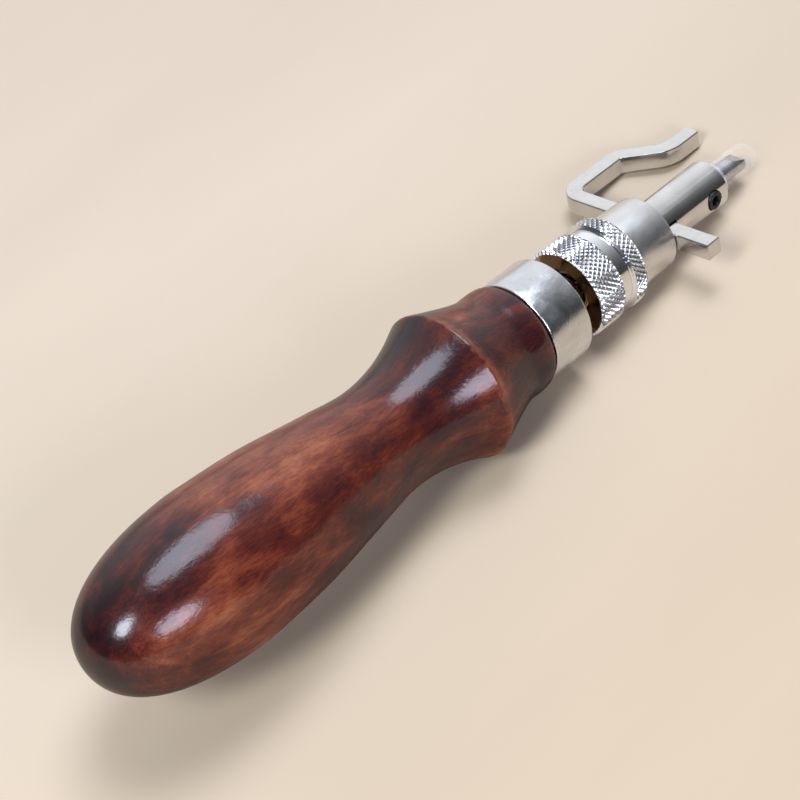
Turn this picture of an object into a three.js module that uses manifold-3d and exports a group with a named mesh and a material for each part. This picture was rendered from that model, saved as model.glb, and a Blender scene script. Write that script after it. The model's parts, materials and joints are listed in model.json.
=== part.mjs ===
// A hand tool for working leather edges: a turned wooden handle, a steel spindle that takes
// interchangeable cutters, and a bent guide arm clamped across it by a knurled nut and a sleeve.
// Millimetres. The tool is drawn straight along +X, tip forward, with x = 0 where the wood ends,
// +Y towards the guide arm and +Z up. At the end it is laid down as it rests on a table.
import * as THREE from 'three';
import { mergeVertices } from 'three/addons/utils/BufferGeometryUtils.js';
import Module from 'manifold-3d';

const wasm = await Module();
wasm.setup();

// Driving dimensions. Every "x" is a place along the tool's axis, and every "radius" is measured
// from that axis unless a comment says otherwise.
const gap = 0.3;
const halfTurn = Math.PI / 2;

const handle = {
  frontRadius: 9.5, shoulderX: -3, shoulderRadius: 10.6,
  flareX: -5.8, flareBendX: -8, flareBendRadius: 10.9,
  collarX: -16.5, ridgeWidth: 0.2, collarRadius: 14.2,
  waist: [[-23, 11.6], [-33, 10], [-44, 11.4], [-57, 13.3]],
  bellyX: -70, bellyRadius: 14.2, buttX: -99, buttExponent: 2.3,
  tenonRadius: 8.4, tenonLength: 7.5, boreStepX: -13.2, boreEndX: -40,
};
const ferrule = { frontX: 9.5, radius: 10, wall: 1.6, chamfer: 0.3 };
const spindle = {
  tangRadius: 3.6, radius: 4.7, frontX: 54.2, chamfer: 0.45,
  threadRadius: 4.4, threadRearX: 10, threadFrontX: 26.4,
  socketDepth: 11.7,
};
const nut = {
  rearX: 13.9, grooveRearX: 20.2, grooveFrontX: 22.7, frontX: 26.4,
  radius: 8.9, grooveRadius: 8.1, chamfer: 0.8,
};
const sleeve = { length: 9.1, rearRadius: 7.6, frontRadius: 7.3, chamfer: 0.35 };
const arm = {
  side: 3.3, stubEndY: -14.45, cornerRadius: 3.2, limbY: 20.2, limbEndX: 50.8,
  kneeAngle: THREE.MathUtils.degToRad(48), kneeRadius: 2.1, ankleRadius: 5,
  footY: 12.95, footEndX: 65.6, footCorner: 0.8, edgeBreak: 0.2,
};
const cutter = {
  radius: 1.9, shankInSocket: 10.7, tipX: 62.6,
  noseRise: 1.1, noseLength: 3.2, grooveRadius: 1.05, grooveLength: 5,
};
const screw = { x: 50, radius: 1.75, headY: -4.9, keyAcrossFlats: 1.8, keyDepth: 1.5, chamfer: 0.25 };
const cap = {
  rearX: 55.2, rimRadius: 3.3, rimTaper: 0.3, rimLength: 0.8,
  tubeRadius: 2.65, wall: 0.45, endX: 66.5, domeLength: 3.2,
};

// Places and radii that follow from the driving dimensions.
const holeRadius = spindle.radius + gap;
const sleeveRearX = nut.frontX + gap;
const sleeveFrontX = sleeveRearX + sleeve.length;
const armRearX = sleeveFrontX + gap;
const armFrontX = armRearX + arm.side;
const armCentreX = armRearX + arm.side / 2;
const socketRadius = cutter.radius + gap;

// Shape helpers.

// A solid of revolution about the tool's axis, from [x, radius] pairs that start and end on the
// axis, or that close on themselves for a ring.
function turned(profile, segments = 40) {
  const points = profile.map(([x, radius]) => new THREE.Vector2(radius, x));
  return new THREE.LatheGeometry(points, segments).rotateZ(-halfTurn);
}

function ring(profile, segments) {
  return turned([...profile, profile[0]], segments);
}

function rod(radius, rearX, frontX, segments = 24) {
  return new THREE.CylinderGeometry(radius, radius, frontX - rearX, segments)
    .rotateZ(-halfTurn)
    .translate((rearX + frontX) / 2, 0, 0);
}

function toManifold(geometry) {
  const bare = geometry.clone();
  bare.deleteAttribute('normal');
  bare.deleteAttribute('uv');
  const merged = mergeVertices(bare);
  return new wasm.Manifold(new wasm.Mesh({
    numProp: 3,
    vertProperties: new Float32Array(merged.getAttribute('position').array),
    triVerts: new Uint32Array(merged.index.array),
  }));
}

function fromManifold(solid) {
  const mesh = solid.getMesh();
  const geometry = new THREE.BufferGeometry();
  geometry.setAttribute('position', new THREE.BufferAttribute(mesh.vertProperties, 3));
  geometry.setIndex(new THREE.BufferAttribute(mesh.triVerts, 1));
  return geometry;
}

function cut(body, ...tools) {
  const result = tools.reduce((solid, tool) => solid.subtract(toManifold(tool)), toManifold(body));
  return fromManifold(result);
}

function piece(name, geometry, color, roughness, metalness) {
  const mesh = new THREE.Mesh(geometry, new THREE.MeshStandardMaterial({ color, roughness, metalness }));
  mesh.name = name;
  return mesh;
}

// The wood: a tenon for the ferrule, a short shoulder, a flared collar with a crisp ridge,
// a waist, and a full belly that closes in a rounded butt. It is bored for the spindle's tang.
function woodenHandle() {
  const bore = [
    [handle.boreEndX, 0],
    [handle.boreEndX, spindle.tangRadius + gap],
    [handle.boreStepX, spindle.tangRadius + gap],
    [handle.boreStepX, holeRadius],
    [handle.tenonLength, holeRadius],
    [handle.tenonLength, handle.tenonRadius],
    [0, handle.tenonRadius],
  ];
  const shoulder = new THREE.QuadraticBezierCurve(
    new THREE.Vector2(0, handle.frontRadius),
    new THREE.Vector2(0, handle.shoulderRadius),
    new THREE.Vector2(handle.shoulderX, handle.shoulderRadius),
  ).getPoints(4);
  const flare = new THREE.QuadraticBezierCurve(
    new THREE.Vector2(handle.flareX, handle.shoulderRadius),
    new THREE.Vector2(handle.flareBendX, handle.flareBendRadius),
    new THREE.Vector2(handle.collarX, handle.collarRadius),
  ).getPoints(4);
  const waist = new THREE.SplineCurve([
    new THREE.Vector2(handle.collarX - handle.ridgeWidth, handle.collarRadius),
    ...handle.waist.map(([x, radius]) => new THREE.Vector2(x, radius)),
    new THREE.Vector2(handle.bellyX, handle.bellyRadius),
  ]).getPoints(18);
  const buttSteps = 9;
  const butt = [];
  for (let step = 1; step <= buttSteps; step += 1) {
    const along = Math.sin(halfTurn * step / buttSteps);
    const across = (1 - along ** handle.buttExponent) ** (1 / handle.buttExponent);
    butt.push([
      handle.bellyX + (handle.buttX - handle.bellyX) * along,
      step === buttSteps ? 0 : handle.bellyRadius * across,
    ]);
  }
  const outside = [...shoulder, ...flare, ...waist].map((point) => [point.x, point.y]);
  return piece('wooden_handle', turned([...bore, ...outside, ...butt].reverse()), 0x4a1c14, 0.3, 0);
}

// A plated cup over the tenon, with a front wall that the spindle passes through.
function makeFerrule() {
  const { frontX, radius, wall, chamfer } = ferrule;
  const innerRadius = handle.tenonRadius + gap;
  const profile = [
    [gap, innerRadius],
    [frontX - wall, innerRadius],
    [frontX - wall, holeRadius],
    [frontX, holeRadius],
    [frontX, radius - chamfer],
    [frontX - chamfer, radius],
    [gap + chamfer, radius],
    [gap, radius - chamfer],
  ];
  return piece('ferrule', ring(profile.reverse()), 0xb9bcc0, 0.25, 1);
}

// One steel rod: a tang in the wood, a threaded length for the nut, and a shaft with a cross
// slot for the guide arm, a socket in its front end for a cutter, and a side hole for its screw.
function makeSpindle() {
  const { tangRadius, radius, frontX, chamfer, threadRadius, threadRearX, threadFrontX } = spindle;
  const tangFrontX = handle.boreStepX + gap;
  const body = turned([
    [handle.boreEndX + gap, 0],
    [handle.boreEndX + gap, tangRadius],
    [tangFrontX, tangRadius],
    [tangFrontX, radius],
    [threadRearX, radius],
    [threadRearX, threadRadius],
    [threadFrontX, threadRadius],
    [threadFrontX, radius],
    [frontX - chamfer, radius],
    [frontX, radius - chamfer],
    [frontX, 0],
  ], 32);
  const slotRearX = sleeveRearX + sleeve.length / 2;
  const slotFrontX = armFrontX + gap;
  const slot = new THREE.BoxGeometry(slotFrontX - slotRearX, 3 * radius, arm.side + 2 * gap)
    .translate((slotRearX + slotFrontX) / 2, 0, 0);
  const socket = rod(socketRadius, frontX - spindle.socketDepth, frontX + 1);
  const screwHole = new THREE.CylinderGeometry(screw.radius + gap, screw.radius + gap, 2 * radius, 24)
    .translate(screw.x, -radius, 0);
  return piece('spindle', cut(body, slot, socket, screwHole), 0xb4b8bc, 0.3, 1);
}

// Two grip bands with a plain groove turned between them.
function knurledNut() {
  const { rearX, grooveRearX, grooveFrontX, frontX, radius, grooveRadius, chamfer } = nut;
  const grooveWall = (radius - grooveRadius) / 2;
  const profile = [
    [rearX, holeRadius],
    [frontX, holeRadius],
    [frontX, radius - chamfer],
    [frontX - chamfer, radius],
    [grooveFrontX + grooveWall, radius],
    [grooveFrontX, grooveRadius],
    [grooveRearX, grooveRadius],
    [grooveRearX - grooveWall, radius],
    [rearX + chamfer, radius],
    [rearX, radius - chamfer],
  ];
  return piece('knurled_nut', ring(profile.reverse(), 48), 0xc4c8cc, 0.15, 1);
}

// The plain collar, a little narrower in front, that the nut pushes against the guide arm.
function clampSleeve() {
  const { rearRadius, frontRadius, chamfer } = sleeve;
  const profile = [
    [sleeveRearX, holeRadius],
    [sleeveFrontX, holeRadius],
    [sleeveFrontX, frontRadius - chamfer],
    [sleeveFrontX - chamfer, frontRadius],
    [sleeveRearX + chamfer, rearRadius],
    [sleeveRearX, rearRadius - chamfer],
  ];
  return piece('clamp_sleeve', ring(profile.reverse()), 0xb4b8bc, 0.3, 1);
}

// The outline of the bent square bar in plan, as offsets of its centre line: across the spindle
// to the corner, forward along the limb, in at the knee, and forward again along the foot.
function armOutline() {
  const half = arm.side / 2;
  const { cornerRadius, limbY, limbEndX, kneeAngle, kneeRadius, ankleRadius, footY, footEndX } = arm;
  const bendDrop = (kneeRadius + ankleRadius) * (1 - Math.cos(kneeAngle));
  const shinLength = (limbY - footY - bendDrop) / Math.sin(kneeAngle);
  const shinEndX = limbEndX + kneeRadius * Math.sin(kneeAngle) + shinLength * Math.cos(kneeAngle);
  const footStartX = shinEndX + ankleRadius * Math.sin(kneeAngle);
  const cornerCentre = [armCentreX + cornerRadius, limbY - cornerRadius];
  const outline = new THREE.Shape();
  outline.moveTo(armFrontX, arm.stubEndY);
  outline.lineTo(armRearX, arm.stubEndY);
  outline.absarc(...cornerCentre, cornerRadius + half, Math.PI, halfTurn, true);
  outline.absarc(limbEndX, limbY - kneeRadius, kneeRadius + half, halfTurn, halfTurn - kneeAngle, true);
  outline.absarc(footStartX, footY + ankleRadius, ankleRadius - half, -halfTurn - kneeAngle, -halfTurn, false);
  outline.lineTo(footEndX - arm.footCorner, footY + half);
  outline.quadraticCurveTo(footEndX, footY + half, footEndX, footY + half - arm.footCorner);
  outline.lineTo(footEndX, footY - half + arm.footCorner);
  outline.quadraticCurveTo(footEndX, footY - half, footEndX - arm.footCorner, footY - half);
  outline.absarc(footStartX, footY + ankleRadius, ankleRadius + half, -halfTurn, -halfTurn - kneeAngle, true);
  outline.absarc(limbEndX, limbY - kneeRadius, kneeRadius - half, halfTurn - kneeAngle, halfTurn, false);
  outline.absarc(...cornerCentre, cornerRadius - half, halfTurn, Math.PI, false);
  return outline;
}

// The guide arm that runs along the leather's edge beside the cutter.
function guideArm() {
  const { side, edgeBreak } = arm;
  const geometry = new THREE.ExtrudeGeometry(armOutline(), {
    depth: side - 2 * edgeBreak,
    curveSegments: 7,
    bevelSegments: 1,
    bevelThickness: edgeBreak,
    bevelSize: edgeBreak,
    bevelOffset: -edgeBreak,
  }).translate(0, 0, edgeBreak - side / 2);
  return piece('guide_arm', geometry, 0xc0c4c8, 0.2, 1);
}

// A round shank whose nose slopes on top, with a rounded groove under the nose that meets the
// slope in the cutting edge.
function makeCutter() {
  const { radius, shankInSocket, tipX, noseRise, noseLength, grooveRadius, grooveLength } = cutter;
  const shank = rod(radius, spindle.frontX - shankInSocket, tipX, 32);
  const slope = Math.atan2(noseRise, noseLength);
  const wedge = new THREE.BoxGeometry(4 * radius, 4 * radius, 2 * radius)
    .translate(0, 0, radius)
    .rotateY(slope)
    .translate(tipX, 0, radius - noseRise);
  const groove = rod(grooveRadius, tipX - grooveLength, tipX + 1, 20).translate(0, 0, -radius);
  return piece('cutter', cut(shank, wedge, groove), 0x8d9196, 0.35, 1);
}

// A headless screw that holds the cutter's shank, with a hexagonal key socket.
function cutterSetScrew() {
  const { x, radius, headY, keyAcrossFlats, keyDepth, chamfer } = screw;
  const tipY = -socketRadius;
  const length = tipY - headY;
  const body = new THREE.LatheGeometry([
    new THREE.Vector2(0, 0),
    new THREE.Vector2(radius - chamfer, 0),
    new THREE.Vector2(radius, chamfer),
    new THREE.Vector2(radius, length - chamfer),
    new THREE.Vector2(radius - chamfer, length),
    new THREE.Vector2(0, length),
  ], 24);
  const keyRadius = keyAcrossFlats / Math.sqrt(3);
  const key = new THREE.CylinderGeometry(keyRadius, keyRadius, 2 * keyDepth, 6);
  return piece('cutter_set_screw', cut(body, key).translate(x, headY, 0), 0x16161a, 0.45, 0.8);
}

// A clear plastic thimble over the cutting edge, with a flared rim and a domed end. Its wall is
// thin, and it is hollow right up into the dome.
function tipCap() {
  const { rearX, rimRadius, rimTaper, rimLength, tubeRadius, wall, endX, domeLength } = cap;
  const domeStartX = endX - domeLength;
  const domeSteps = 6;
  const dome = (radius, length) => {
    const points = [];
    for (let step = 0; step < domeSteps; step += 1) {
      const angle = halfTurn * step / domeSteps;
      points.push([domeStartX + length * Math.sin(angle), radius * Math.cos(angle)]);
    }
    points.push([domeStartX + length, 0]);
    return points;
  };
  const profile = [
    ...dome(tubeRadius - wall, domeLength - wall).reverse(),
    [rearX, tubeRadius - wall],
    [rearX, rimRadius],
    [rearX + rimLength, rimRadius - rimTaper],
    ...dome(tubeRadius, domeLength),
  ];
  return piece('tip_cap', turned(profile, 32), 0xe8ecee, 0.1, 0);
}

// Laid down, the tool stands on its collar, on the front edge of the nut and on the guide arm,
// so it is pitched nose down by the first two and rolled over until the arm touches.
function restingGroup(tool) {
  const nutEdgeX = nut.frontX - nut.chamfer;
  const pitch = Math.atan2(handle.collarRadius - nut.radius, nutEdgeX - handle.collarX);
  const touch = (x, y) => {
    const floorBelow = handle.collarRadius - (x - handle.collarX) * Math.tan(pitch);
    return Math.asin(floorBelow / Math.hypot(y, arm.side / 2)) - Math.atan2(arm.side / 2, y);
  };
  const armPoints = armOutline().getPoints(12).filter((point) => point.y > arm.footY);
  const roll = Math.min(...armPoints.map((point) => touch(point.x, point.y)));
  const rolled = new THREE.Group();
  rolled.rotation.x = -roll;
  rolled.add(tool);
  const pitched = new THREE.Group();
  pitched.rotation.y = pitch;
  pitched.add(rolled);
  const placed = new THREE.Group();
  placed.add(pitched);
  const box = new THREE.Box3().setFromObject(placed, true);
  const centre = box.getCenter(new THREE.Vector3());
  placed.position.set(-centre.x, -centre.y, -box.min.z);
  return placed;
}

const tool = new THREE.Group();
tool.add(
  woodenHandle(),
  makeFerrule(),
  makeSpindle(),
  knurledNut(),
  clampSleeve(),
  guideArm(),
  makeCutter(),
  cutterSetScrew(),
  tipCap(),
);

const group = new THREE.Group();
group.add(restingGroup(tool));
export default group;
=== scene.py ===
"""The looks of an adjustable leather edge beveler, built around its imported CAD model.

Shapes are drawn in the tool's own frame, in millimetres: X along the tool towards its tip, with
x = 0 where the wood meets the ferrule, Y towards the guide arm, and Z up. That frame is worked
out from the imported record, and each finished mesh is moved from it into the row frame.
"""
import json
import math

import bmesh
import bpy
import numpy as np
from mathutils import Matrix, Quaternion, Vector


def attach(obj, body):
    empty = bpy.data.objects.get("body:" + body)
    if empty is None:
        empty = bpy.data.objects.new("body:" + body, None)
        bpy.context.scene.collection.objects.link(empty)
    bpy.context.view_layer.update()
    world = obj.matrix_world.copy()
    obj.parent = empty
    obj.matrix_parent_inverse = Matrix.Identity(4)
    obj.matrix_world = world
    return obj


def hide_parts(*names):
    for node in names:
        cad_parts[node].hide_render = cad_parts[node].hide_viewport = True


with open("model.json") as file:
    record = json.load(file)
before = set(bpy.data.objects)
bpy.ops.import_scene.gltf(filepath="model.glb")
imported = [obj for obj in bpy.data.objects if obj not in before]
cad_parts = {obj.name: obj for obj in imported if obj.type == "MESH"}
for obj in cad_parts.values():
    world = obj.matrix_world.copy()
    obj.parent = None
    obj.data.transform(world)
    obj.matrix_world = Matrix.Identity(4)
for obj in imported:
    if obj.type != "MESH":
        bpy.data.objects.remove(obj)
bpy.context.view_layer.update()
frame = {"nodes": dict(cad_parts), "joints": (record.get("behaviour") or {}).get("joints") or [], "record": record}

# ---------------------------------------------------------------- driving dimensions, in mm

MM = 0.001                    # the row frame is in metres
CORNER_STEPS = 5              # mesh steps round a rounded corner
CURVE_STEPS = 8               # mesh steps from one point of a smooth curve to the next

# The wooden handle, whose outline is read off the CAD solid.
CAD_RING_GAP = 0.05           # CAD points closer than this along the axis make one ring
BORE_LIMIT = 6.0              # a point of the wood nearer the axis than this is in its bore,
SOLID_FRONT_X = -70.0         # unless it is behind here, where the wood is solid
COLLAR_REAR_X = -30.0         # the ridge is the widest place in front of this
WAIST_REAR_X = -60.0          # the waist is the thinnest place between this and the ridge
RIDGE_WEAR = 0.5              # half the width over which the crisp ridge is worn round
RIDGE_LOSS = RIDGE_WEAR / 16  # how much the wear takes off its radius
TENON_LENGTH, TENON_RADIUS = 7.5, 8.4

HOLE_RADIUS = 5.0             # through the ferrule's front, the nut and the sleeve

FERRULE_SIDE_WALL, FERRULE_FRONT_WALL = 1.3, 1.6

# The knurled nut.
KNURLS_ROUND = 50             # diamonds in one turn
KNURL_PITCH = 1.28            # one diamond's length along the nut
KNURL_DEPTH = 0.5
KNURL_FLAT = 1.25             # above 1, it cuts the diamonds' points flat
KNURL_STEPS = 12              # mesh steps across one diamond
KNURL_END, KNURL_END_DEPTH = 0.2, 0.25    # how far and how much it fades at the nut's ends
KNURL_SIDE = 0.12             # how far it fades beside the groove
NUT_CHAMFER = 0.5
NUT_HOLE_CHAMFER = 0.4
GROOVE_REAR_X, GROOVE_FRONT_X, GROOVE_DEPTH = 20.2, 22.7, 0.8
GROOVE_WALL = GROOVE_DEPTH / 2            # the length of the groove's sloping sides

SLEEVE_TAPER = 0.3

# The spindle.
TANG_RADIUS, TANG_FRONT_X = 3.6, -12.9
NECK_REAR_X, NECK_RADIUS = 10.0, 4.4
THREAD_REAR_X, THREAD_FRONT_X = 14.0, 26.4
THREAD_PITCH = 1.0
THREAD_DEPTH = 0.55
THREAD_CORE = 3.7
THREAD_FLAT = 1.3             # above 1, it cuts the thread's crest flat
THREAD_STEPS = 12             # mesh steps along one turn
SLOT_REAR_X, SLOT_FRONT_X, SLOT_HALF_HEIGHT = 31.25, 39.7, 1.95
SOCKET_MOUTH_X, SOCKET_DEPTH, SOCKET_RADIUS = 54.2, 11.7, 2.2
SPINDLE_CHAMFER = 0.45
SCREW_X, SCREW_HOLE_RADIUS = 50.0, 1.95
KEY_ACROSS_FLATS, KEY_DEPTH = 1.8, 1.5

# The cutter.
CUTTER_RADIUS = 1.9
CUTTER_REAR_CHAMFER = 0.3
CUTTER_TIP_LENGTH, CUTTER_TIP_CHAMFER = 0.15, 0.08
CUTTER_STEP = 0.12            # mesh step along it
NOSE_RISE, NOSE_LENGTH = 1.1, 3.2
CUTTER_GROOVE_RADIUS, CUTTER_GROOVE_LENGTH, CUTTER_GROOVE_RUN_OUT = 1.05, 5.0, 1.2

# The clear cap.
CAP_TUBE_RADIUS, CAP_RIM_LENGTH, CAP_DOME_LENGTH, CAP_WALL = 2.65, 0.8, 3.2, 0.45
CAP_RIM_CHAMFER, CAP_RIM_STEP, CAP_RIM_TAIL = 0.15, 0.45, 0.4
CAP_DOME_STEPS = 24
CAP_END_MARGIN = 0.06         # keeps the smooth dome inside the faceted one's box


# ---------------------------------------------------------------- driving looks

# How light the stain is along the handle, from 0 to 1, by share of its length from the butt.
STAIN_ALONG = [
    (0.0, 0.20), (0.10, 0.38), (0.26, 0.57), (0.45, 0.55), (0.60, 0.46),
    (0.70, 0.34), (0.79, 0.28), (0.85, 0.46), (0.91, 0.36), (0.97, 0.38),
]
# Painted sheen and shade by side, by the same share: which side is painted lighter, as sheen and floor reflection,
# while the other is painted darker as shade. 1 for the lower one, away from the guide arm, 0 for the upper one,
# towards it, and 0.5 for neither.
PAINTED_SIDE_SHEEN_AND_SHADE = [
    (0.0, 0.60), (0.12, 0.95), (0.23, 0.85), (0.31, 0.35), (0.45, 0.10), (0.60, 0.20),
    (0.70, 0.80), (0.80, 0.95), (0.84, 0.90), (0.88, 0.05), (1.0, 0.0),
]
PAINTED_SIDE_SHEEN_AND_SHADE_STRENGTH = 0.23
STAIN_COLOURS = [
    (0.05, (0.008, 0.002, 0.003)), (0.26, (0.024, 0.004, 0.004)),
    (0.46, (0.060, 0.009, 0.005)), (0.66, (0.125, 0.026, 0.011)),
    (0.90, (0.225, 0.066, 0.028)),
]
RIDGE_COLOUR = (0.17, 0.050, 0.025)
RIDGE_REAR_X, RIDGE_FRONT_X = -18.2, -14.8    # the band where the stain is rubbed thin
PITH = (0, -34, 21)           # the growth rings' centre, outside the handle
ACROSS_SHARE, ACROSS_REACH = 0.55, 12         # what a mm of -Y and of -Z counts, and the most
LACQUER, THIN_LACQUER = 0.5, 0.22             # the coat's weight above, and underneath
THINNING = (4.5, 9.5)                         # how far across it starts to thin, and ends

# Painted shade: a dark brown for the recess between the ferrule and the nut, on the spindle's neck and thread, the
# ferrule's front face and the nut's rear face.
RECESS_SHADE_COLOUR = (0.36, 0.28, 0.20)
RECESS_SHADE_FADE = 0.04               # mm over which the painted shade stops
RECESS_SHADE_EDGE = 0.03               # mm that it reaches round the ferrule's and the nut's edges
PIT_COLOUR = (0.20, 0.13, 0.08)
SMOOTHEST = 0.04              # no metal is smoother than this roughness

TABLE_HALF_SIDE = 3.0         # in metres
# The table's tones: cool on the side of the guide arm, warmer and darker on the other. The warmth is the table's
# own; the darkening is painted shade for light that falls off there.
TABLE_COOL = [(0.3, (0.412, 0.326, 0.238)), (0.7, (0.442, 0.350, 0.256))]
TABLE_WARM_SHADED = [(0.3, (0.372, 0.282, 0.185)), (0.7, (0.400, 0.304, 0.200))]
TABLE_SHADE_BLEND = 60              # mm to either side of the tool, from the cool to the warm, darker tone

# The camera's lens and sensor are in mm, its place in metres and its angles in degrees.
CAMERA_LENS, CAMERA_SENSOR = 121.1, 36
CAMERA_AZIMUTH, CAMERA_ELEVATION, CAMERA_ROLL = -37.25, 47.15, -13.58
CAMERA_DISTANCE = 0.4602
CAMERA_AIM = Vector((-0.0061, 0.0028, 0.0120))
CAMERA_NEAR, CAMERA_FAR = 0.01, 20

BRIGHT_SIDE = (0.63, 0.70, 0.34)              # the direction in which the room is brightest
DIM_RADIANCE, BRIGHT_RADIANCE = 0.06, 1.2
ROOM_FALLOFF, ROOM_FADE_START = 2.2, -0.2
ROOM_COLOUR = (0.96, 0.98, 1.02)

# Each soft light's name, direction, width and height at 1 m, radiance and colour.
LAMPS = [
    ("overhead", (0.25, 0.06, 0.97), 0.48, 0.60, 18.5, (0.76, 0.83, 1.0)),
    ("front_window", (-0.20, -0.84, 0.50), 0.38, 0.32, 29.0, (0.74, 0.79, 1.0)),
    ("left_lamp", (-0.65, -0.17, 0.74), 0.27, 0.32, 58.0, (0.80, 0.90, 1.0)),
]
LAMP_LAYERS = (1.2, 0.9, 0.6)                 # the sizes of its panels, as shares of its own


# ---------------------------------------------------------------- the tool's frame

def tool_frame():
    """The tool's axes as a matrix's columns, and its origin, both in the row frame."""
    axis = {joint["name"]: Vector(joint["axis"]).normalized() for joint in frame["joints"]}
    mount = {m["name"]: Vector(m["pos_m"]) for m in frame["record"]["mounts"]}
    x = axis["sleeve_slide"]
    y = axis["guide_slide"]
    turn = Matrix((x, y, x.cross(y))).transposed()
    return turn, mount["tip_socket"] - SOCKET_MOUTH_X * MM * x


turn, origin = tool_frame()
to_row = Matrix.LocRotScale(origin, turn.to_quaternion(), Vector((MM, MM, MM)))


def cad_points(node):
    """A CAD node's vertices in the tool's frame, in mm."""
    points = np.array([vertex.co for vertex in frame["nodes"][node].data.vertices])
    return (points - np.array(origin)) @ np.array(turn) / MM


def reach(node):
    """Where a turned CAD node starts and ends along the tool, and its largest radius."""
    points = cad_points(node)
    radius = np.hypot(points[:, 1], points[:, 2]).max()
    return points[:, 0].min(), points[:, 0].max(), radius


# ---------------------------------------------------------------- shape helpers

def new_object(name, mesh):
    """Puts a mesh in the scene."""
    piece = bpy.data.objects.new(name, mesh)
    bpy.context.scene.collection.objects.link(piece)
    return piece


def rounded(corners):
    """A closed outline of [x, radius, rounding] corners, as points, with each corner rounded."""
    points = []
    for index, (x, radius, rounding) in enumerate(corners):
        corner = Vector((x, radius))
        if not rounding:
            points.append(corner)
            continue
        before = Vector(corners[index - 1][:2])
        after = Vector(corners[(index + 1) % len(corners)][:2])
        start = corner + (before - corner).normalized() * rounding
        end = corner + (after - corner).normalized() * rounding
        for step in range(CORNER_STEPS + 1):
            t = step / CORNER_STEPS
            points.append(start * (1 - t) ** 2 + corner * 2 * t * (1 - t) + end * t * t)
    return [(point.x, point.y) for point in points]


def grid_faces(rows, segments, ring=False):
    """The four-sided faces between rows of points that each go once round the axis. With ring,
    faces join the last row to the first."""
    faces = []
    for row in range(rows if ring else rows - 1):
        after = (row + 1) % rows
        for step in range(segments):
            beside = (step + 1) % segments
            faces.append((
                row * segments + step, row * segments + beside,
                after * segments + beside, after * segments + step,
            ))
    return faces


def grid_mesh(name, x, radius, segments, ring):
    """A turned mesh. x and radius hold one row for each station along the outline and one column
    for each step round it. A ring's outline closes on itself, and any other ends on the axis."""
    angle = np.arange(segments) * 2 * math.pi / segments
    y = radius * np.cos(angle)
    z = radius * np.sin(angle)
    points = np.stack([np.broadcast_to(x, radius.shape), y, z], axis=-1).reshape(-1, 3)
    mesh = bpy.data.meshes.new(name)
    mesh.from_pydata(points.tolist(), [], grid_faces(len(x), segments, ring))
    return mesh


def tidy(mesh):
    """Joins points that coincide, as on the axis, and turns every face outwards."""
    form = bmesh.new()
    form.from_mesh(mesh)
    bmesh.ops.remove_doubles(form, verts=form.verts, dist=1e-5)
    bmesh.ops.dissolve_degenerate(form, edges=form.edges, dist=1e-6)
    bmesh.ops.recalc_face_normals(form, faces=form.faces)
    form.to_mesh(mesh)
    form.free()
    return mesh


def turned(name, profile, segments=160, ring=False):
    """A solid of revolution about the tool's axis, from (x, radius) points."""
    x = np.array([point[0] for point in profile])[:, None]
    radius = np.array([point[1] for point in profile])[:, None] * np.ones(segments)
    return new_object(name, tidy(grid_mesh(name, x, radius, segments, ring)))


def apply_modifiers(piece):
    """Makes the modifiers' result the piece's own mesh."""
    evaluated = piece.evaluated_get(bpy.context.evaluated_depsgraph_get())
    mesh = bpy.data.meshes.new_from_object(evaluated)
    piece.modifiers.clear()
    piece.data = mesh


def carve(piece, *tools):
    """Cuts each tool's shape out of the piece."""
    for tool in tools:
        modifier = piece.modifiers.new("carve", "BOOLEAN")
        modifier.operation = "DIFFERENCE"
        modifier.solver = "EXACT"
        modifier.object = tool
    apply_modifiers(piece)
    for tool in tools:
        bpy.data.objects.remove(tool)


def break_edges(piece, width, angle=32, segments=3):
    """Rounds every edge sharper than angle, in degrees, by width."""
    modifier = piece.modifiers.new("edges", "BEVEL")
    modifier.width = width
    modifier.segments = segments
    modifier.limit_method = "ANGLE"
    modifier.angle_limit = math.radians(angle)
    apply_modifiers(piece)


def block(low, high):
    """A plain box between two corners, to carve with."""
    mesh = bpy.data.meshes.new("block")
    form = bmesh.new()
    size = Vector(high) - Vector(low)
    place = Matrix.Translation((Vector(high) + Vector(low)) / 2) @ Matrix.Diagonal((*size, 1))
    bmesh.ops.create_cube(form, size=1, matrix=place)
    form.to_mesh(mesh)
    form.free()
    return new_object("block", mesh)


def bar(centre, axis, radius, length, segments=64):
    """A round or many-sided bar centred on a point, to carve with."""
    mesh = bpy.data.meshes.new("bar")
    form = bmesh.new()
    aim = Vector(axis).to_track_quat("Z", "Y").to_matrix().to_4x4()
    bmesh.ops.create_cone(
        form, cap_ends=True, segments=segments, radius1=radius, radius2=radius,
        depth=length, matrix=Matrix.Translation(centre) @ aim,
    )
    form.to_mesh(mesh)
    form.free()
    return new_object("bar", mesh)


def finish_piece(piece, body, node, surface, sharp=30):
    """Moves a piece from the tool's frame to the row frame, gives it its surface and body, and hides the CAD node
    it stands in for.
    """
    piece.data.transform(to_row)
    piece.data.shade_smooth()
    piece.data.set_sharp_from_angle(angle=math.radians(sharp))
    piece.data.materials.clear()
    piece.data.materials.append(surface)
    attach(piece, body)
    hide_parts(node)


# ---------------------------------------------------------------- material helpers

def opaque(colour):
    """A plain colour with full alpha. A node's output stays as it is."""
    return (*colour, 1) if isinstance(colour, tuple) else colour


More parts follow.
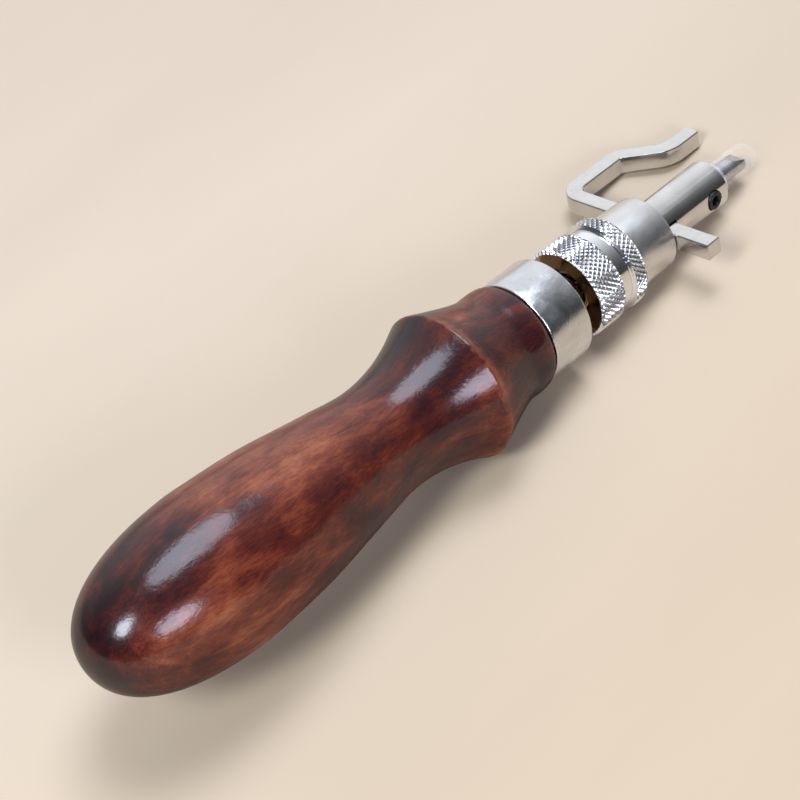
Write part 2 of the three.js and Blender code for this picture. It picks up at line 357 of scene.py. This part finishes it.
class Surface:
    """One procedural material on a Principled shader, painted in the tool's millimetres."""

    def __init__(self, name, sockets):
        self.material = bpy.data.materials.new(name)
        self.material.use_nodes = True
        self.tree = self.material.node_tree
        self.tree.nodes.clear()
        self.shader = self.add("ShaderNodeBsdfPrincipled", sockets)
        output = self.add("ShaderNodeOutputMaterial", {})
        self.tree.links.new(self.shader.outputs[0], output.inputs["Surface"])
        place = self.add("ShaderNodeTexCoord", {}).outputs["Object"]
        mapping = self.add("ShaderNodeMapping", {
            "Vector": place, "Location": origin, "Rotation": turn.to_euler(),
            "Scale": (MM, MM, MM),
        }, vector_type="TEXTURE")
        self.where = mapping.outputs[0]

    def add(self, kind, inputs, **settings):
        """A new node. An input is another node's output, linked to it, or a plain value."""
        node = self.tree.nodes.new(kind)
        for key, value in settings.items():
            setattr(node, key, value)
        for key, value in inputs.items():
            if isinstance(value, bpy.types.NodeSocket):
                self.tree.links.new(value, node.inputs[key])
            else:
                node.inputs[key].default_value = value
        return node

    def drive(self, socket, value):
        """Links a node's output to one of the shader's sockets."""
        self.tree.links.new(value, self.shader.inputs[socket])

    def stretched(self, factors, vector=None):
        """The coordinates times factors, so a factor is how many features fit in 1 mm."""
        inputs = {0: vector or self.where, 1: factors}
        return self.add("ShaderNodeVectorMath", inputs, operation="MULTIPLY").outputs[0]

    def axis(self, name):
        """X, Y or Z in the tool's frame, in mm."""
        return self.add("ShaderNodeSeparateXYZ", {0: self.where}).outputs[name]

    def math(self, operation, first, second):
        return self.add("ShaderNodeMath", {0: first, 1: second}, operation=operation).outputs[0]

    def noise(self, factors, detail=3.0, roughness=0.55, distortion=0.0):
        """Soft noise from 0 to 1, with about factors features to the mm."""
        return self.add("ShaderNodeTexNoise", {
            "Vector": self.stretched(factors), "Scale": 1.0, "Detail": detail,
            "Roughness": roughness, "Distortion": distortion,
        }).outputs[0]

    def span(self, value, low, high, new_low, new_high):
        """A value from low to high, turned into one from new_low to new_high and kept there."""
        return self.add("ShaderNodeMapRange", {
            "Value": value, "From Min": low, "From Max": high,
            "To Min": new_low, "To Max": new_high,
        }).outputs[0]

    def ramp(self, value, stops, smooth=False):
        """A run of colours, or greys given as single numbers, at places from 0 to 1."""
        node = self.add("ShaderNodeValToRGB", {0: value})
        node.color_ramp.interpolation = "EASE" if smooth else "LINEAR"
        elements = node.color_ramp.elements
        while len(elements) < len(stops):
            elements.new(0.5)
        for element, (place, colour) in zip(elements, stops):
            element.position = place
            element.color = opaque(colour if isinstance(colour, tuple) else (colour,) * 3)
        return node.outputs[0]

    def mix(self, share, first, second):
        """From the first colour, at share 0, to the second."""
        inputs = {0: share, 6: opaque(first), 7: opaque(second)}
        return self.add("ShaderNodeMix", inputs, data_type="RGBA").outputs[2]

    def bump(self, height, distance, normal=None):
        """A bent normal. distance is the height of the full pattern, in mm."""
        inputs = {"Height": height, "Distance": distance * MM, "Strength": 1.0}
        if normal:
            inputs["Normal"] = normal
        return self.add("ShaderNodeBump", inputs).outputs[0]


# ---------------------------------------------------------------- materials

def stained_wood(rear_x):
    """Dark red stain under a glossy lacquer: blotches, lengthwise streaks, faint growth lines.
    The lacquer is rubbed thinner underneath, on the side away from the guide arm."""
    wood = Surface("stained_wood", {
        "Roughness": 0.55, "IOR": 1.5, "Specular IOR Level": 0.02,
        "Coat Roughness": 0.17, "Coat IOR": 1.8,
    })
    blotch = wood.noise((0.05, 0.10, 0.10), detail=2, roughness=0.5, distortion=0.3)
    cloud = wood.noise((0.13, 0.26, 0.26), detail=2, roughness=0.5, distortion=0.4)
    streak = wood.noise((0.22, 1.1, 1.1), detail=3, roughness=0.6)
    fibre = wood.noise((0.6, 4.0, 4.0), detail=2, roughness=0.6)

    # Darker at the butt and on both sides of the collar, lighter on the belly and on the ridge.
    # across grows downwards and away from the guide arm.
    x = wood.axis("X")
    drift = wood.span(wood.noise((0.08, 0.16, 0.16)), 0, 1, -3.5, 3.5)
    along = wood.span(wood.math("ADD", x, drift), rear_x, 0, 0, 1)
    zone = wood.ramp(along, STAIN_ALONG, smooth=True)
    across = wood.math("ADD", wood.math("MULTIPLY", wood.axis("Y"), -ACROSS_SHARE),
                       wood.math("MULTIPLY", wood.axis("Z"), -ACROSS_SHARE))
    # Painted light by side: one side of the wood is painted lighter, as sheen and floor reflection, and the other
    # darker, as shade.
    side = wood.span(wood.ramp(along, PAINTED_SIDE_SHEEN_AND_SHADE, smooth=True), 0, 1,
                     -PAINTED_SIDE_SHEEN_AND_SHADE_STRENGTH, PAINTED_SIDE_SHEEN_AND_SHADE_STRENGTH)
    painted_side_sheen_and_shade = wood.math("MULTIPLY", side, wood.span(across, -ACROSS_REACH, ACROSS_REACH, -1, 1))

    # Growth rings about a pith far outside the handle cross it in long, faint curves.
    pith = wood.add("ShaderNodeVectorMath", {0: wood.where, 1: PITH}, operation="SUBTRACT")
    rings = wood.add("ShaderNodeTexWave", {
        "Vector": wood.stretched((0.02, 0.05, 0.05), pith.outputs[0]), "Scale": 1.0,
        "Distortion": 1.6, "Detail": 2.0, "Detail Scale": 0.8,
    }, wave_type="RINGS", rings_direction="X", wave_profile="SAW").outputs[1]

    tone = wood.math("ADD", zone, painted_side_sheen_and_shade)
    tone = wood.math("ADD", tone, wood.span(rings, 0, 1, -0.05, 0.05))
    for pattern, strength in ((blotch, 0.42), (cloud, 0.30), (streak, 0.16), (fibre, 0.18)):
        tone = wood.math("ADD", tone, wood.span(pattern, 0.28, 0.72, -strength / 2, strength / 2))
    colour = wood.ramp(tone, STAIN_COLOURS)

    # The ridge, where the stain is rubbed thin.
    ragged = wood.math("ADD", x, wood.span(wood.noise((1.2, 0.7, 0.7)), 0.3, 0.7, -0.5, 0.5))
    ridge = wood.ramp(wood.span(ragged, RIDGE_REAR_X, RIDGE_FRONT_X, 0, 1), [
        (0.0, 0.0), (0.36, 0.0), (0.50, 1.0), (0.70, 0.9), (0.95, 0.0),
    ])
    worn = wood.math("MULTIPLY", ridge, wood.span(cloud, 0.35, 0.6, 0.2, 0.8))
    wood.drive("Base Color", wood.mix(worn, colour, RIDGE_COLOUR))

    # Open pores in the wood, and the lacquer's own slight unevenness.
    pores = wood.ramp(fibre, [(0.30, 0.0), (0.42, 1.0)])
    skin = wood.noise((0.5, 0.9, 0.9), detail=2)
    dimples = wood.noise((1.3, 1.6, 1.6), detail=2)
    wood.drive("Normal", wood.bump(pores, 0.012))
    wood.drive("Coat Normal", wood.bump(dimples, 0.02, wood.bump(skin, 0.03)))
    wood.drive("Coat Weight", wood.span(across, *THINNING, LACQUER, THIN_LACQUER))
    return wood.material


def metal(name, colour, roughness, turned_lines=0.0, smudge=0.08, scratch=0.0, tint=0.9,
          recess_shade=None, pitted=0.0):
    """Bare or plated metal. turned_lines and scratch are heights in mm of fine rings and marks, recess_shade is
    the stretch of x, in mm, painted dark brown as shade in the recess between the ferrule and the nut, and pitted
    is how dark its few brown specks are, from 0 to 1."""
    steel = Surface(name, {"Metallic": 1.0})
    cloud = steel.noise((0.16, 0.22, 0.22), detail=5, roughness=0.65, distortion=0.7)
    speck = steel.noise((1.1, 1.4, 1.4), detail=3, roughness=0.6)
    dull = tuple(channel * tint for channel in colour)
    shade = steel.mix(steel.span(cloud, 0.35, 0.65, 0, 1), dull, colour)
    if pitted:
        pits = steel.noise((0.9, 1.3, 1.3), detail=4, roughness=0.7)
        shade = steel.mix(steel.span(pits, 0.64, 0.72, 0, pitted), shade, PIT_COLOUR)
    # Painted shade: this stretch of x is painted dark brown for the recess between the ferrule and the nut.
    if recess_shade:
        x = steel.axis("X")
        rear_x, front_x = recess_shade
        inside = steel.math("MULTIPLY", steel.span(x, rear_x - RECESS_SHADE_FADE, rear_x, 0, 1),
                            steel.span(x, front_x, front_x + RECESS_SHADE_FADE, 1, 0))
        shade = steel.mix(inside, shade, RECESS_SHADE_COLOUR)
    steel.drive("Base Color", shade)
    rough = steel.math("ADD", steel.span(cloud, 0.3, 0.7, roughness - smudge, roughness + smudge),
                       steel.span(speck, 0.3, 0.7, -smudge / 3, smudge / 3))
    steel.drive("Roughness", steel.math("MAXIMUM", rough, SMOOTHEST))
    normal = steel.bump(cloud, 0.02)
    if turned_lines:
        lines = steel.noise((9.0, 0.02, 0.02), detail=4, roughness=0.7)
        normal = steel.bump(lines, turned_lines, normal)
    if scratch:
        marks = steel.noise((0.6, 5.0, 5.0), detail=3, roughness=0.7, distortion=1.2)
        normal = steel.bump(marks, scratch, normal)
    steel.drive("Normal", normal)
    return steel.material


def black_oxide():
    """The set screw's dark oxide finish, rubbed brighter in places."""
    oxide = Surface("black_oxide", {"Metallic": 0.6})
    wear = oxide.noise((1.6, 1.6, 1.6), detail=4)
    oxide.drive("Base Color", oxide.ramp(wear, [
        (0.35, (0.007, 0.007, 0.009)), (0.75, (0.028, 0.027, 0.030)),
    ]))
    oxide.drive("Roughness", oxide.span(wear, 0.3, 0.7, 0.24, 0.42))
    oxide.drive("Normal", oxide.bump(oxide.noise((6, 6, 6)), 0.01))
    return oxide.material


def clear_plastic(mouth_x):
    """A thin clear wall: almost nothing face on, with milky edges and a gloss."""
    plastic = Surface("clear_plastic", {
        "Base Color": (0.92, 0.93, 0.94, 1), "IOR": 1.5, "Roughness": 0.08,
    })
    facing = plastic.add("ShaderNodeLayerWeight", {"Blend": 0.35}).outputs["Facing"]
    haze = plastic.span(plastic.noise((0.5, 0.5, 0.5)), 0.3, 0.7, 0.0, 0.01)
    rim = plastic.ramp(facing, [(0.0, 0.0), (0.45, 0.01), (0.65, 0.12), (0.85, 0.55)])
    mouth = plastic.span(plastic.axis("X"), mouth_x + 0.1, mouth_x + 0.3, 0.28, 0.0)
    plastic.drive("Alpha", plastic.math("ADD", plastic.math("MAXIMUM", rim, mouth), haze))
    plastic.drive("Normal", plastic.bump(plastic.noise((0.8, 0.8, 0.8)), 0.02))
    return plastic.material


def table_top():
    """Plain and pale, a little warmer and darker on the side away from the guide arm: the warmth is its own tone,
    the darkening is painted shade for light that falls off on that side.
    """
    table = Surface("pale_table", {"Roughness": 0.65})
    cloud = table.noise((0.004, 0.02, 0.02), detail=4)
    cool = table.ramp(cloud, TABLE_COOL)
    warm_shaded = table.ramp(cloud, TABLE_WARM_SHADED)
    # Painted shade: the side away from the guide arm is mixed toward the darker, warmer tone.
    share = table.span(table.axis("Y"), TABLE_SHADE_BLEND, -TABLE_SHADE_BLEND, 0, 1)
    table.drive("Base Color", table.mix(share, cool, warm_shaded))
    return table.material


# ---------------------------------------------------------------- pieces

def smooth_run(points):
    """A smooth curve through (x, radius) points, which meets the axis squarely if it ends on it."""
    points = [Vector(point) for point in points]
    first = points[0] * 2 - points[1]
    last = points[-1] * 2 - points[-2]
    if points[-1].y < 0.01:
        last = Vector((points[-2].x, -points[-2].y))
    guides = [first, *points, last]
    curve = []
    for p0, p1, p2, p3 in zip(guides, guides[1:], guides[2:], guides[3:]):
        d1 = (p2 - p1).length
        d0 = max((p1 - p0).length, 1e-3)
        d2 = max((p3 - p2).length, 1e-3)
        slope1 = ((p1 - p0) / d0 * d1 + (p2 - p1) / d1 * d0) / (d0 + d1) * d1
        slope2 = ((p2 - p1) / d1 * d2 + (p3 - p2) / d2 * d1) / (d1 + d2) * d1
        for step in range(CURVE_STEPS):
            t = step / CURVE_STEPS
            curve.append(
                p1 * (2 * t ** 3 - 3 * t ** 2 + 1) + slope1 * (t ** 3 - 2 * t ** 2 + t)
                + p2 * (3 * t ** 2 - 2 * t ** 3) + slope2 * (t ** 3 - t ** 2)
            )
    curve.append(points[-1])
    return [(point.x, max(point.y, 0.0)) for point in curve]


def handle_outline():
    """The wood's outline from its front to its butt, read off the CAD solid and smoothed: the
    outermost point of each ring, in two curves that meet at the ridge."""
    points = cad_points("wooden_handle")
    radii = np.hypot(points[:, 1], points[:, 2])
    behind_ferrule = points[:, 0] < 0.01
    outside = (radii > BORE_LIMIT) | (points[:, 0] < SOLID_FRONT_X)
    keep = behind_ferrule & outside
    outline = []
    for x, radius in sorted(zip(points[keep, 0], radii[keep]), reverse=True):
        if not outline or outline[-1][0] - x > CAD_RING_GAP:
            outline.append((x, radius))
        elif radius > outline[-1][1]:
            outline[-1] = (outline[-1][0], radius)
    collar = [(radius, place) for place, (x, radius) in enumerate(outline) if x > COLLAR_REAR_X]
    crest = max(collar)[1]
    rear_x = outline[-1][0]
    both = smooth_run(outline[:crest]) + smooth_run(outline[crest:])
    return [(max(x, rear_x), radius) for x, radius in both]


def wooden_handle():
    """The turned wood, with a worn ridge round its collar and a tenon in front."""
    x, radius = np.array(handle_outline()).T
    crest = np.argmax(np.where(x > COLLAR_REAR_X, radius, 0))
    in_waist = (x > WAIST_REAR_X) & (x < x[crest])
    waist = np.argmin(np.where(in_waist, radius, radius.max()))

    # From the waist up to its ridge the wood flares as a parabola.
    share = (x - x[waist]) / (x[crest] - x[waist])
    flare = radius[waist] + (radius[crest] - radius[waist]) * share ** 2
    radius = np.where((share > 0) & (share < 1), flare, radius)
    radius = radius - RIDGE_LOSS * np.exp(-((x - x[crest]) / RIDGE_WEAR) ** 2)
    tenon = [(TENON_LENGTH, 0.0), (TENON_LENGTH, TENON_RADIUS), (0.0, TENON_RADIUS)]
    piece = turned("handle_wood", tenon + list(zip(x, radius)), segments=224)
    finish_piece(piece, "handle", "wooden_handle", stained_wood(x[-1]), sharp=50)


def ferrule():
    """A plated cup over the tenon, with a hole in its front for the spindle."""
    rear_x, front_x, radius = reach("ferrule")
    inner_radius = radius - FERRULE_SIDE_WALL
    inner_x = front_x - FERRULE_FRONT_WALL
    profile = rounded([
        (rear_x, inner_radius, 0), (rear_x, radius, 0.4), (front_x, radius, 0.3),
        (front_x, HOLE_RADIUS, 0.15), (inner_x, HOLE_RADIUS, 0), (inner_x, inner_radius, 0),
    ])
    piece = turned("ferrule_cup", profile, segments=192, ring=True)
    # Its front face is painted dark brown as shade in the recess before the nut.
    surface = metal("plated_ferrule", (0.66, 0.67, 0.68), 0.22, turned_lines=0.0015, smudge=0.09,
                    tint=0.80, recess_shade=(front_x - RECESS_SHADE_EDGE, front_x + 1), pitted=0.5)
    finish_piece(piece, "handle", "ferrule", surface)


def triangle_wave(turns):
    """0 at whole turns and 1 half way between."""
    return 1 - np.abs(2 * (turns - np.floor(turns)) - 1)


def knurled_nut():
    """Two bands of diamond knurling with a plain groove between them."""
    rear_x, front_x, radius = reach("knurled_nut")
    segments = KNURLS_ROUND * KNURL_STEPS
    step = KNURL_PITCH / KNURL_STEPS
    count = int(round((front_x - rear_x) / step))
    stations = np.linspace(rear_x, front_x, count + 1)

    # Its radius before knurling, and the knurling's share of its full depth, along the nut.
    rear_band_end = GROOVE_REAR_X - GROOVE_WALL
    front_band_end = GROOVE_FRONT_X + GROOVE_WALL
    floor = radius - GROOVE_DEPTH
    plain = np.interp(stations, [
        rear_x, rear_x + NUT_CHAMFER, rear_band_end, GROOVE_REAR_X,
        GROOVE_FRONT_X, front_band_end, front_x - NUT_CHAMFER, front_x,
    ], [radius - NUT_CHAMFER, radius, radius, floor, floor, radius, radius, radius - NUT_CHAMFER])
    share = np.interp(stations, [
        rear_x, rear_x + KNURL_END, rear_band_end - KNURL_SIDE, rear_band_end,
        front_band_end, front_band_end + KNURL_SIDE, front_x - KNURL_END, front_x,
    ], [KNURL_END_DEPTH, 1, 1, 0, 0, 1, 1, KNURL_END_DEPTH])

    across = np.arange(segments) / KNURL_STEPS
    along = stations[:, None] / KNURL_PITCH
    crest = np.minimum(triangle_wave(across + along), triangle_wave(across - along))
    crest = np.clip(crest * KNURL_FLAT, 0, 1)
    outside = plain[:, None] - KNURL_DEPTH * share[:, None] * (1 - crest)
    mouth = HOLE_RADIUS + NUT_HOLE_CHAMFER
    inside_x = [front_x, front_x - NUT_HOLE_CHAMFER, rear_x + NUT_HOLE_CHAMFER, rear_x]
    inside = np.array([[mouth], [HOLE_RADIUS], [HOLE_RADIUS], [mouth]]) * np.ones(segments)
    x = np.concatenate([stations, inside_x])[:, None]
    radii = np.concatenate([outside, inside])
    piece = new_object("nut_knurled", tidy(grid_mesh("nut_knurled", x, radii, segments, True)))
    # Its rear face is painted dark brown as shade in the recess behind the ferrule.
    surface = metal("bright_nut", (0.80, 0.81, 0.83), 0.12, smudge=0.03, tint=0.92,
                    recess_shade=(rear_x - 1, rear_x + RECESS_SHADE_EDGE))
    finish_piece(piece, "nut", "knurled_nut", surface, sharp=22)


def clamp_sleeve():
    """A plain collar that tapers slightly to its front."""
    rear_x, front_x, rear_radius = reach("clamp_sleeve")
    front_radius = rear_radius - SLEEVE_TAPER
    profile = rounded([
        (rear_x, HOLE_RADIUS, 0.15), (rear_x, rear_radius, 0.35),
        (front_x, front_radius, 0.3), (front_x, HOLE_RADIUS, 0.15),
    ])
    piece = turned("sleeve_collar", profile, segments=160, ring=True)
    surface = metal("satin_sleeve", (0.68, 0.67, 0.66), 0.30, turned_lines=0.002, smudge=0.04)
    finish_piece(piece, "sleeve", "clamp_sleeve", surface)


def thread_ring():
    """The thread, as a ring whose inside is sunk in the rod."""
    segments = 96
    stations = np.arange(THREAD_REAR_X + 0.2, THREAD_FRONT_X - 0.1, THREAD_PITCH / THREAD_STEPS)
    turns = np.arange(segments) / segments + stations[:, None] / THREAD_PITCH
    height = np.clip(triangle_wave(turns) * THREAD_FLAT, 0, 1)
    outside = NECK_RADIUS - THREAD_DEPTH * (1 - height)
    inside = np.full((2, segments), THREAD_CORE - 0.2)
    x = np.concatenate([stations, [stations[-1], stations[0]]])[:, None]
    radii = np.concatenate([outside, inside])
    mesh = grid_mesh("spindle_thread", x, radii, segments, True)
    return new_object("spindle_thread", tidy(mesh))


def spindle():
    """The rod with its slot, socket and screw hole, and its thread as a piece of its own."""
    rear_x, front_x, radius = reach("spindle")
    profile = [
        (rear_x, 0), (rear_x, TANG_RADIUS), (TANG_FRONT_X, TANG_RADIUS), (TANG_FRONT_X, radius),
        (NECK_REAR_X, radius), (NECK_REAR_X, NECK_RADIUS), (THREAD_REAR_X, NECK_RADIUS),
        (THREAD_REAR_X, THREAD_CORE), (THREAD_FRONT_X, THREAD_CORE), (THREAD_FRONT_X, radius),
        (front_x - SPINDLE_CHAMFER, radius), (front_x, radius - SPINDLE_CHAMFER), (front_x, 0),
    ]
    piece = turned("spindle_rod", profile, segments=128)
    half_height = SLOT_HALF_HEIGHT
    carve(
        piece,
        block((SLOT_REAR_X, -2 * radius, -half_height), (SLOT_FRONT_X, 2 * radius, half_height)),
        bar((front_x - SOCKET_DEPTH / 2 + 1, 0, 0), (1, 0, 0), SOCKET_RADIUS, SOCKET_DEPTH + 2),
        bar((SCREW_X, -radius, 0), (0, 1, 0), SCREW_HOLE_RADIUS, 2 * radius),
    )
    break_edges(piece, 0.12)
    # Its neck and thread are painted dark brown as shade in the recess between the ferrule and the nut.
    steel = metal("spindle_steel", (0.68, 0.67, 0.66), 0.09, turned_lines=0.0015, smudge=0.04,
                  recess_shade=(NECK_REAR_X - 1, THREAD_FRONT_X))
    finish_piece(piece, "handle", "spindle", steel)
    finish_piece(thread_ring(), "handle", "spindle", steel)


def guide_arm():
    """The bent bar: the CAD solid's own shape, with its flat faces made whole and edges eased."""
    mesh = frame["nodes"]["guide_arm"].data.copy()
    mesh.transform(to_row.inverted())
    form = bmesh.new()
    form.from_mesh(mesh)
    bmesh.ops.remove_doubles(form, verts=form.verts, dist=1e-3)
    bmesh.ops.dissolve_limit(form, angle_limit=math.radians(1), verts=form.verts, edges=form.edges)
    form.to_mesh(mesh)
    form.free()
    piece = new_object("guide_arm_bar", mesh)
    break_edges(piece, 0.14, angle=35, segments=2)
    surface = metal("bright_arm", (0.66, 0.65, 0.63), 0.12, smudge=0.07, scratch=0.005, pitted=0.8)
    finish_piece(piece, "guide", "guide_arm", surface, sharp=25)


def cutter():
    """A round shank whose nose slopes on top, over a rounded groove."""
    rear_x, tip_x, _ = reach("cutter")
    radius = CUTTER_RADIUS
    segments = 128
    shank_x = [rear_x, rear_x + CUTTER_REAR_CHAMFER, tip_x - CUTTER_TIP_LENGTH, tip_x]
    between = np.arange(shank_x[1], shank_x[2], CUTTER_STEP)
    stations = np.unique(np.concatenate([shank_x[:2], between, shank_x[2:]]))
    shank = np.interp(stations, shank_x, [
        radius - CUTTER_REAR_CHAMFER, radius, radius, radius - CUTTER_TIP_CHAMFER,
    ])
    angle = np.arange(segments) * 2 * math.pi / segments
    y = shank[:, None] * np.cos(angle)
    z = shank[:, None] * np.sin(angle)

    # The nose's slope cuts the top off, and the groove's roof stands in for the underside.
    slope = radius - NOSE_RISE + (tip_x - stations) * NOSE_RISE / NOSE_LENGTH
    z = np.minimum(z, slope[:, None])
    groove_rear_x = tip_x - CUTTER_GROOVE_LENGTH
    run_out = np.clip((stations - groove_rear_x) / CUTTER_GROOVE_RUN_OUT, 0, 1)[:, None]
    roof = np.sqrt(np.clip(CUTTER_GROOVE_RADIUS ** 2 - y ** 2, 0, None)) * run_out - radius
    z = np.where(z < 0, np.maximum(z, roof), z)

    points = np.stack([np.broadcast_to(stations[:, None], y.shape), y, z], axis=-1)
    rows = len(stations)
    end_centres = [[rear_x, 0, 0], [tip_x, 0, 0.1]]
    vertices = np.concatenate([points.reshape(-1, 3), end_centres])
    faces = grid_faces(rows, segments)
    for row, centre in ((0, rows * segments), (rows - 1, rows * segments + 1)):
        for step in range(segments):
            faces.append((row * segments + step, row * segments + (step + 1) % segments, centre))
    mesh = bpy.data.meshes.new("cutter_shank")
    mesh.from_pydata(vertices.tolist(), [], faces)
    piece = new_object("cutter_shank", tidy(mesh))
    surface = metal("cutter_steel", (0.50, 0.50, 0.52), 0.27, smudge=0.07, scratch=0.003)
    finish_piece(piece, "tip", "cutter", surface)


def set_screw():
    """A headless screw with a hexagonal socket, in the side of the rod away from the guide."""
    points = cad_points("cutter_set_screw")
    head_y, inner_y = points[:, 1].min(), points[:, 1].max()
    radius = (points[:, 0].max() - points[:, 0].min()) / 2
    length = inner_y - head_y
    profile = rounded([(0, 0, 0), (0, radius, 0.3), (length, radius, 0.3), (length, 0, 0)])
    piece = turned("set_screw_body", profile, segments=64)
    piece.data.transform(Matrix.Rotation(math.pi / 2, 4, "Z"))
    piece.data.transform(Matrix.Translation((SCREW_X, head_y, 0)))
    corner_radius = KEY_ACROSS_FLATS / math.sqrt(3)
    carve(piece, bar((SCREW_X, head_y, 0), (0, 1, 0), corner_radius, 2 * KEY_DEPTH, segments=6))
    break_edges(piece, 0.06)
    finish_piece(piece, "set_screw", "cutter_set_screw", black_oxide())


def tip_cap():
    """A clear thimble: a thick rim, a tube and a domed end, with a thin wall all round."""
    rear_x, end_x, rim_radius = reach("tip_cap")
    dome_x = end_x - CAP_END_MARGIN - CAP_DOME_LENGTH
    dome = []
    for step in range(CAP_DOME_STEPS + 1):
        angle = math.pi / 2 * step / CAP_DOME_STEPS
        dome.append((math.sin(angle), math.cos(angle) if step < CAP_DOME_STEPS else 0.0))
    tube = CAP_TUBE_RADIUS
    bore = tube - CAP_WALL
    outside = [(dome_x + CAP_DOME_LENGTH * s, tube * c) for s, c in dome]
    inside = [(dome_x + (CAP_DOME_LENGTH - CAP_WALL) * s, bore * c) for s, c in reversed(dome)]
    rim_end_x = rear_x + CAP_RIM_LENGTH
    rim = [
        (rear_x, rim_radius - CAP_RIM_CHAMFER), (rear_x + CAP_RIM_CHAMFER, rim_radius),
        (rear_x + CAP_RIM_STEP, rim_radius), (rim_end_x, tube + CAP_RIM_CHAMFER),
        (rim_end_x + CAP_RIM_TAIL, tube),
    ]
    profile = inside + [(rear_x, bore)] + rim + outside
    piece = turned("tip_cap_shell", profile, segments=96)
    finish_piece(piece, "cap", "tip_cap", clear_plastic(rear_x), sharp=60)


# ---------------------------------------------------------------- camera, lights and table

def make_camera():
    """The camera, at the photograph's angle."""
    data = bpy.data.cameras.new("photo_camera")
    data.lens = CAMERA_LENS
    data.sensor_width = CAMERA_SENSOR
    data.clip_start = CAMERA_NEAR
    data.clip_end = CAMERA_FAR
    camera = bpy.data.objects.new("photo_camera", data)
    bpy.context.scene.collection.objects.link(camera)
    azimuth = math.radians(CAMERA_AZIMUTH)
    elevation = math.radians(CAMERA_ELEVATION)
    back = Vector((
        math.sin(azimuth) * math.cos(elevation), -math.cos(azimuth) * math.cos(elevation),
        math.sin(elevation),
    ))
    camera.location = CAMERA_AIM + back * CAMERA_DISTANCE
    camera.rotation_mode = "QUATERNION"
    roll = Quaternion((0, 0, 1), math.radians(CAMERA_ROLL))
    camera.rotation_quaternion = (-back).to_track_quat("-Z", "Y") @ roll
    bpy.context.scene.camera = camera


def softbox(name, towards, width, height, radiance, colour):
    """A soft light 1 m away in the direction towards: round panels inside one another, so that
    it fades out to its edge instead of ending in a line."""
    direction = Vector(towards).normalized()
    share = radiance / len(LAMP_LAYERS)
    for layer in LAMP_LAYERS:
        data = bpy.data.lights.new(name, "AREA")
        data.shape = "ELLIPSE"
        data.size = width * layer
        data.size_y = height * layer
        data.energy = share * math.pi * math.pi / 4 * data.size * data.size_y
        data.color = colour
        light = bpy.data.objects.new(name, data)
        light.visible_camera = False
        bpy.context.scene.collection.objects.link(light)
        light.location = direction
        light.rotation_mode = "QUATERNION"
        light.rotation_quaternion = (-direction).to_track_quat("-Z", "Y")


def room():
    """A pale room that is brightest on the far side, where the window is."""
    world = bpy.data.worlds.new("room")
    bpy.context.scene.world = world
    world.use_nodes = True
    nodes = world.node_tree.nodes
    links = world.node_tree.links
    place = nodes.new("ShaderNodeTexCoord")
    towards = nodes.new("ShaderNodeVectorMath")
    towards.operation = "DOT_PRODUCT"
    towards.inputs[1].default_value = Vector(BRIGHT_SIDE).normalized()
    fade = nodes.new("ShaderNodeMapRange")
    fade.inputs["From Min"].default_value = ROOM_FADE_START
    curve = nodes.new("ShaderNodeMath")
    curve.operation = "POWER"
    curve.inputs[1].default_value = ROOM_FALLOFF
    strength = nodes.new("ShaderNodeMapRange")
    strength.inputs["To Min"].default_value = DIM_RADIANCE
    strength.inputs["To Max"].default_value = BRIGHT_RADIANCE
    background = nodes["Background"]
    background.inputs["Color"].default_value = opaque(ROOM_COLOUR)
    links.new(place.outputs["Generated"], towards.inputs[0])
    links.new(towards.outputs["Value"], fade.inputs["Value"])
    links.new(fade.outputs["Result"], curve.inputs[0])
    links.new(curve.outputs["Value"], strength.inputs["Value"])
    links.new(strength.outputs["Result"], background.inputs["Strength"])


def lighting():
    """The room and its soft lights."""
    room()
    for lamp in LAMPS:
        softbox(*lamp)


def table():
    """The plain floor under the tool."""
    mesh = bpy.data.meshes.new("table")
    half = TABLE_HALF_SIDE
    corners = [(-half, -half, 0), (half, -half, 0), (half, half, 0), (-half, half, 0)]
    mesh.from_pydata(corners, [], [(0, 1, 2, 3)])
    mesh.materials.append(table_top())
    new_object("table", mesh)


bpy.context.scene.view_settings.view_transform = "Standard"
make_camera()
lighting()
table()
wooden_handle()
ferrule()
knurled_nut()
clamp_sleeve()
spindle()
guide_arm()
cutter()
set_screw()
tip_cap()
